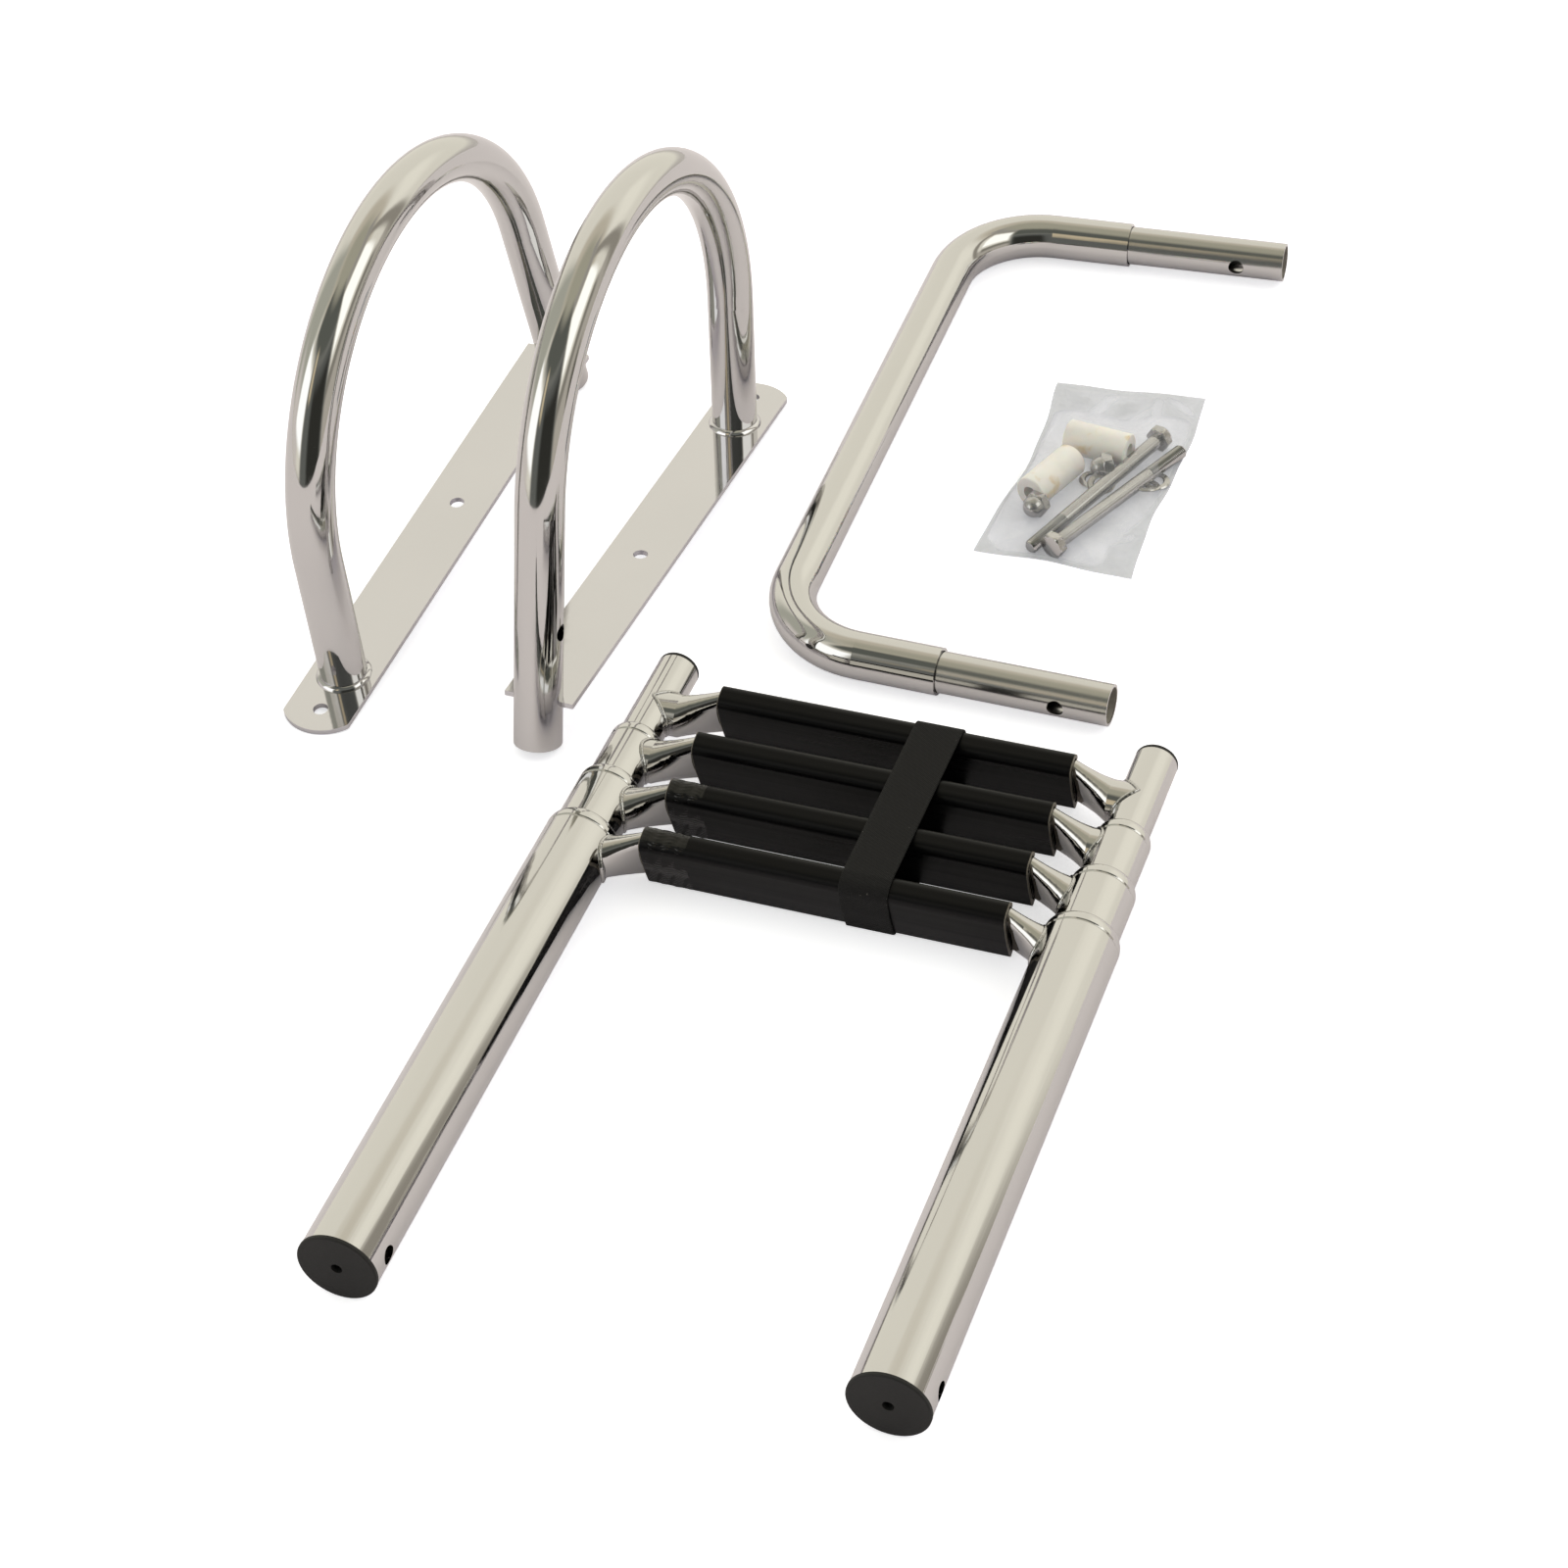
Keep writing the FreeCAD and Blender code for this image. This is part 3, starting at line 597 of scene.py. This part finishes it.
def bead(curve, outward):
    """A rippled bar round a closed curve: the radius swells about once a bead width."""
    turn = np.linspace(0, 2 * np.pi, len(curve), endpoint=False)
    swell = 1 + 0.10 * np.abs(np.sin(21 * turn)) + 0.06 * np.sin(3 * turn + 1)
    return along_path(curve, circle(BEAD, 10) * swell[:, None, None], outward, loop=True)


BODIES = ("outer_section", "section_2", "section_3", "root")
TUBE_RADII = (19.05, 16.4, 13.75, 11.1)
STEP_BEFORE_COVER = 9.8
for number, (moving, tube_radius) in enumerate(zip(BODIES, TUBE_RADII), 1):
    step_y = cover_middle(number)[0] - STEP_BEFORE_COVER
    beads = [bead(*seam(step_y, side, tube_radius)) for side in (-1, 1)]
    piece("weld_beads_" + str(number), beads, weld_steel, moving, loop=True, cap=False)
print("beads round", number, "steps")

# %% [markdown]
# Small fasteners. A bolt, a nut and a spacer are all turned shapes: a radius at each
# station along an axis. A hexagon is a radius that changes with the angle as well, and a
# thread is a groove whose place moves along the axis as the angle goes round. So one
# function turns them all, and each piece is only its own table of radii.


# %% Turned pieces
SIDES = 36


def hexagon(across_flats):
    """The radius of a hexagon at each angle: half its width over the cosine of the angle
    from the nearest flat's middle. One flat is up and one is down, as it lies."""
    turn = np.linspace(0, 2 * np.pi, SIDES, endpoint=False)
    from_flat = turn % (np.pi / 3) - np.pi / 6
    return across_flats / 2 / np.cos(from_flat)


def turned(stations, start, ahead):
    """A grid of rings: stations are (distance, radius) pairs, where a radius may be one
    number or one for each angle, from a start along a direction."""
    ahead = np.asarray(ahead, float) / np.linalg.norm(ahead)
    side = np.cross((0, 0, 1.0), ahead)
    side = side / np.linalg.norm(side)
    up = np.cross(ahead, side)
    turn = np.linspace(0, 2 * np.pi, SIDES, endpoint=False)
    radius = np.array([np.broadcast_to(r, SIDES) for _, r in stations])[..., None]
    along = np.array([s for s, _ in stations], float)[:, None, None]
    spokes = np.cos(turn)[:, None] * side + np.sin(turn)[:, None] * up
    return np.asarray(start) + along * ahead + radius * spokes


def thread(first, last, outer, pitch=1.25, depth=0.55):
    """Stations of a thread: the groove is a triangle wave in distance less turn."""
    turn = np.linspace(0, 1, SIDES, endpoint=False)
    along = np.arange(first, last, pitch / 6)
    wave = np.abs(2 * ((along[:, None] / pitch - turn) % 1) - 1)
    return list(zip(along, outer - depth * wave))


def bolt(head, tip):
    """A hexagon bolt from its head's top to its tip."""
    head, tip = np.array(head, float), np.array(tip, float)
    length = np.linalg.norm(tip - head)
    flats = hexagon(13.0)
    stations = [(0, 0), (0, 5.4), (0.25, np.minimum(flats, 6.5)), (1.0, flats), (5.2, flats)]
    stations += [(5.4, np.minimum(flats, 6.6)), (5.4, 4.0), (6, 4.0), (length - 30, 4.0)]
    stations += thread(length - 29.5, length - 1, 4.0)
    stations += [(length - 0.9, 3.5), (length, 2.9), (length, 0)]
    return turned(stations, head, tip - head)


def cap_nut(place, ahead):
    """A domed nut: a hexagon, then a dome whose radius falls as a quarter circle does."""
    flats = hexagon(13.0)
    rise = np.linspace(0, 1, 12)
    stations = [(0, 0), (0, 5.6), (0.5, np.minimum(flats, 6.6)), (1.2, flats), (5.4, flats)]
    stations += [(5.9, np.minimum(flats, 6.5)), (6.2, 6.1)]
    stations += [(6.2 + 6.6 * np.sin(a), 6.1 * np.cos(a)) for a in rise * np.pi / 2]
    return turned(stations, place, ahead)


def spacer(first, last, outer, bore):
    """A thick tube of nylon with a bevel at each end, closed through its bore."""
    first, last = np.array(first, float), np.array(last, float)
    length = np.linalg.norm(last - first)
    stations = [(0, bore), (0, outer - 0.6), (0.6, outer), (length / 2, outer)]
    stations += [(length - 0.6, outer), (length, outer - 0.6), (length, bore), (0, bore)]
    return turned(stations, first, last - first)


# %% [markdown]
# Bores. Tube is polished outside only: inside it is as it left the mill, dull and grey. So
# each open end of the stand-off gets a dull lining just inside its bore, a short way down,
# turned as a cup: along its outside, across its bottom, and back up its inside.

# %% Bore linings
INSERT_ENDS = (((92.5, 466.39), -0.64), ((81.02, 877.46), 3.84))
INSERT_AXIS_Z = 12.7
CUP = ((0.5, 9.56), (18.2, 9.56), (18.2, 0), (18, 0), (18, 9.45), (0.5, 9.45), (0.5, 9.56))
mill_grey, place = new_material("mill grey bore")
rings = place.noise(220.0, 3.0)
shade(place, {"Base Color": rings.mix((0.22, 0.20, 0.18, 1), (0.36, 0.34, 0.31, 1)),
              "Roughness": 0.6, "Specular IOR Level": 0.3}, rings, 0.0001)
cups = []
for (x, y), degrees in INSERT_ENDS:
    inward = (-math.cos(math.radians(degrees)), -math.sin(math.radians(degrees)), 0.0)
    cups.append(turned(CUP, (x, y, INSERT_AXIS_Z), inward))
piece("bore_linings", cups, mill_grey, "root", cap=False)

# %% [markdown]
# The bag's contents. Two long bolts lie beside each other, head to tip, two nylon spacers
# lie behind them, and cap nuts and washers fill the rest. Each lies on the bag's lower
# film, so its height is its own radius, and the long bolts tip down from their heads.

# %% Bolts, nuts, washers and spacers
bolts = [bolt((54.9, 702.6, 6.7), (11.8, 588.9, 4.3)), bolt((23.5, 589.3, 6.7), (68.0, 695.4, 4.3))]
piece("bag_bolts", bolts, bolt_steel, "root", cap=False)
nuts = [cap_nut((6.5, 626.0, 7.2), (-0.25, -1.0, 0.12)), cap_nut((35.5, 668.5, 6.9), (-1, -0.6, 0))]
piece("bag_cap_nuts", nuts, bolt_steel, "root", cap=False)


def washer(place, lean, outer=8.0, bore=4.2, thick=1.4):
    """A flat ring: a small bar's profile round a circle, leaning about its X axis."""
    turn = np.linspace(0, 2 * np.pi, 40, endpoint=False)
    middle = (outer + bore) / 2
    round_path = np.stack([np.cos(turn), np.sin(turn), 0 * turn], axis=-1) * middle
    ring = along_path(round_path, flat_bar(outer - bore, thick, 3), round_path / middle, loop=True)
    tilt = np.array([[1, 0, 0], [0, np.cos(lean), -np.sin(lean)], [0, np.sin(lean), np.cos(lean)]])
    return ring @ tilt.T + place


washers = [washer((27.0, 660.0, 1.4), 0.0), washer((33.0, 655.5, 3.4), 0.25),
           washer((60.5, 668.0, 1.4), 0.0), washer((57.0, 660.5, 3.2), -0.25)]
piece("bag_washers", washers, bolt_steel, "root", loop=True, cap=False)

nylon, place = new_material("cream nylon")
stain = place.noise(60.0, 3.0).between(0.57, 0.70)
shade(place, {"Base Color": stain.mix((0.93, 0.91, 0.88, 1), (0.80, 0.64, 0.40, 1)),
              "Roughness": 0.42, "Subsurface Weight": 0.25, "Subsurface Scale": 0.003},
      place.noise(500.0), 0.00004)
spacers = [spacer((0.2, 628.0, 9.8), (13.4, 664.0, 9.8), 9.5, 4.2),
           spacer((5.5, 684.5, 9.8), (42.0, 680.0, 9.8), 9.5, 4.2)]
piece("bag_spacers", spacers, nylon, "root", loop=False, cap=False)

# %% [markdown]
# The bag. A thin film lies over its contents like a tent: high over each piece, falling
# away from it, and pinned flat at the welded rim. So its height is worked out for every
# point at once, as the smooth greatest of one tent for each piece, and never above the
# slope that rises from the nearest rim. Creases run between the high places.

# %% Film
BAG_CORNERS = np.array([[[-18.4, 583.0], [70.5, 583.0]], [[-18.4, 743.9], [66.8, 751.5]]])
FILM_ROWS, FILM_COLUMNS = 230, 130
RIM = 2.5
inside = [((54.9, 702.6), (11.8, 588.9), 4.4, 6.6), ((23.5, 589.3), (68.0, 695.4), 4.4, 6.6),
          ((0.2, 628.0), (13.4, 664.0), 9.8, 9.6), ((5.5, 684.5), (42.0, 680.0), 9.8, 9.6),
          ((54.9, 702.6), (53.0, 697.6), 7.2, 7.0), ((23.5, 589.3), (25.4, 594.0), 7.2, 7.0),
          ((6.5, 626.0), (3.5, 614.0), 6.5, 7.2), ((35.5, 668.5), (27.0, 663.0), 6.5, 7.2)]


def span(points, first, last):
    """Each point's distance to the straight line between two ends."""
    first, last = np.array(first), np.array(last)
    line = last - first
    part = np.clip(((points - first) @ line) / (line @ line), 0, 1)
    return np.linalg.norm(points - first - part[..., None] * line, axis=-1)


down, across = np.linspace(0, 1, FILM_ROWS), np.linspace(0, 1, FILM_COLUMNS)
v, u = np.meshgrid(down, across, indexing="ij")
near = BAG_CORNERS[0, 0] * (1 - u[..., None]) + BAG_CORNERS[0, 1] * u[..., None]
far = BAG_CORNERS[1, 0] * (1 - u[..., None]) + BAG_CORNERS[1, 1] * u[..., None]
flat = near * (1 - v[..., None]) + far * v[..., None]
left_pull = 6.0 * np.sin(np.pi * v ** 1.3) ** 1.5 + 0.7 * np.sin(17 * v) * np.sin(np.pi * v)
right_pull = 2.0 * np.sin(2 * np.pi * v) + 0.6 * np.sin(21 * v + 1) * np.sin(np.pi * v)
flat[..., 0] += left_pull * (1 - u) ** 2 - right_pull * u ** 2
flat[..., 1] += np.sin(np.pi * u) ** 2 * (1.2 * np.sin(7 * u + 2) * (2 * v - 1) + 1.5 * (1 - v))
tents = [z + r - 0.72 * (np.hypot(span(flat, a, b), 1.2 * r) - 1.2 * r) for a, b, r, z in inside]
top = np.log(np.exp(np.array(tents) * 0.8).sum(0)) / 0.8
rim = 88.0 * np.minimum(u, 1 - u), 165.0 * np.minimum(v, 1 - v)
steep = 1.25 + 3.5 * np.exp(-(flat[..., 1] - 633) ** 2 / 900 - (flat[..., 0] + 6) ** 2 / 60)
slope = 0.15 + steep * np.maximum(np.minimum(*rim) - RIM * 1.25 / steep, 0)
top = np.maximum(-np.log(np.exp(-np.clip(top, 0.4, 40) * 0.7) + np.exp(-slope * 0.7)) / 0.7, 0.25)
crease = np.zeros_like(top)
for x, y, heading_deg, width, depth in ((10, 720, 70, 3.0, 1.1), (45, 725, 100, 2.5, 0.9),
                                        (-6, 690, 20, 3.0, 1.0), (50, 610, 30, 3.0, 0.9),
                                        (60, 640, 65, 2.4, 0.8), (-8, 600, 120, 2.8, 0.8),
                                        (30, 715, 60, 1.8, 0.7), (62, 735, 145, 2.2, 1.2)):
    turn = math.radians(heading_deg)
    offset = (flat[..., 0] - x) * math.sin(turn) - (flat[..., 1] - y) * math.cos(turn)
    along = (flat[..., 0] - x) * math.cos(turn) + (flat[..., 1] - y) * math.sin(turn)
    crease += depth * np.exp(-(offset / width) ** 2 - (along / 26) ** 2)
inner = np.clip(np.minimum(*rim) / 8.0, 0, 1)
upper = np.dstack([flat, 0.15 + (top + crease) * inner])
lower = np.dstack([flat, 0.15 + 0 * top])
film, place = new_material("clear film")
haze = place.noise(55.0, 3.0)
thin = haze.node("ShaderNodeMapRange", {}, {0: haze, 1: 0.3, 2: 0.7, 3: 0.12, 4: 0.24})
against_floor = 1 - part_of(place, "Z").between(0.0002, 0.0014)
shade(place, {"Base Color": (0.63, 0.655, 0.74, 1), "Roughness": 0.10, "Specular IOR Level": 1.0,
              "Alpha": thin + against_floor * 0.38},
      place.noise(120.0, 2.0) + haze * 3, 0.0006)
bag = piece("fastener_bag", [upper, lower[:, ::-1]], film, "root", ring=False, cap=False)
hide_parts("hardware_bag")
print("bag stands", round(float(upper[..., 2].max()), 1), "mm high")
